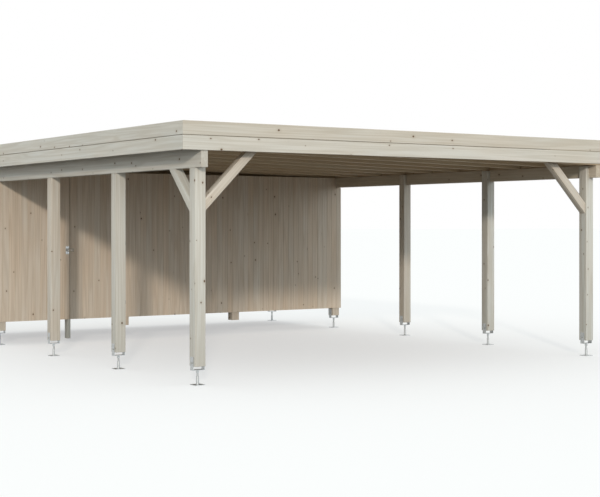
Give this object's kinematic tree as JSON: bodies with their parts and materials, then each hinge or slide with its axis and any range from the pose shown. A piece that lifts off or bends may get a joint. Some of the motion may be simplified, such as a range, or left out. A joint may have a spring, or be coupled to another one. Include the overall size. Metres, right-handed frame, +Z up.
{
  "type": "timber carport with store",
  "caption": "Open timber carport on adjustable steel feet, with a flat roof behind a two-board fascia, knee braces at the front and a boarded store with a hinged door across the back.",
  "frame": {"origin": "on the ground under the middle of the roof", "axes": "+X to the right along the open front, +Y from the open front back to the store, +Z up"},
  "size_m": [5.936, 7.614, 2.6111],
  "materials": {
    "timber": "planed spruce",
    "roof_timber": "planed spruce",
    "zinc": "hot-dip galvanised",
    "felt": "mineral felt"
  },
  "bodies": {
    "frame": {"left_post_1": "timber", "left_post_2": "timber", "left_post_3": "timber", "left_post_4": "timber", "left_post_5": "timber", "right_post_1": "timber", "right_post_2": "timber", "right_post_3": "timber", "right_post_4": "timber", "right_post_5": "timber", "left_foot_bases": "zinc", "left_foot_brackets": "zinc", "right_foot_bases": "zinc", "right_foot_brackets": "zinc", "left_beam": "timber", "right_beam": "timber", "left_front_brace": "timber", "right_front_brace": "timber", "left_side_brace": "timber", "right_side_brace": "timber", "rafters": "roof_timber", "roof_boards": "roof_timber", "roof_felt": "felt", "edge_battens": "roof_timber", "end_upper_fascia": "timber", "end_lower_fascia": "timber", "side_upper_fascia": "timber", "side_lower_fascia": "timber", "front_wall_post_left": "timber", "front_wall_post_right": "timber", "back_wall_post_left": "timber", "back_wall_post_right": "timber", "door_jamb": "timber", "wall_rails": "timber", "front_wall_left": "timber", "front_wall_right": "timber", "left_wall": "timber", "right_wall": "timber", "back_wall": "timber", "hinge_pins": "zinc", "hasp_staple": "zinc"},
    "door": {"door_boards": "timber", "door_ledges": "timber", "door_braces": "timber", "hinge_leaves": "zinc", "hasp_strap": "zinc"}
  },
  "joints": [
    {"name": "store_door", "type": "hinge", "parent": "frame", "child": "door", "pos_m": [-0.932, 1.712, 1.3], "axis": [0, 0, 1], "range_deg": [0, 110]}
  ]
}
